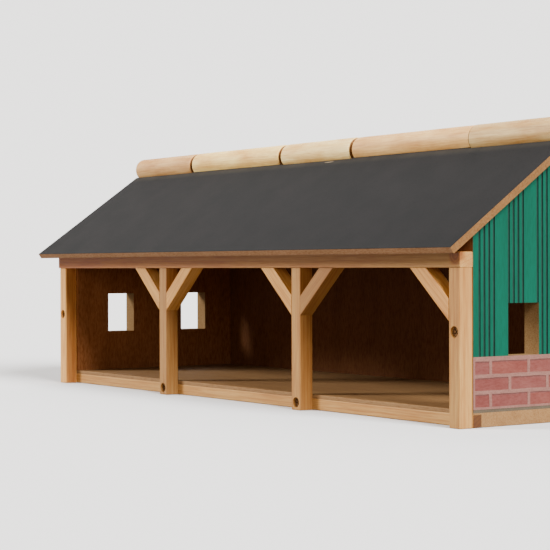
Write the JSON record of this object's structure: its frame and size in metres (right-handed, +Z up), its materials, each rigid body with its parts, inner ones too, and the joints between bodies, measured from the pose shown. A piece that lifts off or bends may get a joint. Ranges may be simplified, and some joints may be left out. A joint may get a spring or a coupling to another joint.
{
  "type": "toy farm shed",
  "caption": "Open-fronted wooden toy machine shed with braced posts, windowed gables on a brick-look base, and a front roof half that folds back on a wooden ridge hinge.",
  "frame": {"origin": "middle of the box that the shed fills, on the surface it stands on, under the ridge", "axes": "+X along the ridge to the right as seen from the open front, +Y to the back, +Z up"},
  "size_m": [0.3294, 0.1292, 0.1193],
  "materials": {
    "frame_pine": "planed, bare",
    "ridge_wood": "turned, bare",
    "roof_board": "matte dark grey coat",
    "clad_wall": "satin printed green boards over printed bricks",
    "floor_board_wood": "bare board",
    "fixing_steel": "zinc plated"
  },
  "bodies": {
    "shed": {"hinge_rod": "fixing_steel", "post_screws": "fixing_steel", "beam_screws": "fixing_steel", "floor_screws": "fixing_steel", "rear_screws": "fixing_steel", "roof_brads": "fixing_steel", "left_end_log": "ridge_wood", "middle_log": "ridge_wood", "right_end_log": "ridge_wood", "front_sill": "frame_pine", "left_corner_post": "frame_pine", "left_mid_post": "frame_pine", "right_mid_post": "frame_pine", "right_corner_post": "frame_pine", "eave_beam": "frame_pine", "left_mid_brace_left": "frame_pine", "left_mid_brace_right": "frame_pine", "right_mid_brace_left": "frame_pine", "right_mid_brace_right": "frame_pine", "right_corner_brace": "frame_pine", "left_gable_wall": "clad_wall", "right_gable_wall": "clad_wall", "rear_wall": "clad_wall", "rear_roof_panel": "roof_board", "floor_board": "floor_board_wood"},
    "front_roof": {"front_roof_panel": "roof_board", "left_hinge_log": "ridge_wood", "right_hinge_log": "ridge_wood"}
  },
  "joints": [
    {"name": "front_roof_hinge", "type": "hinge", "parent": "shed", "child": "front_roof", "pos_m": [0, 0, 0.11332], "axis": [-1, 0, 0], "range_deg": [0, 250]}
  ]
}
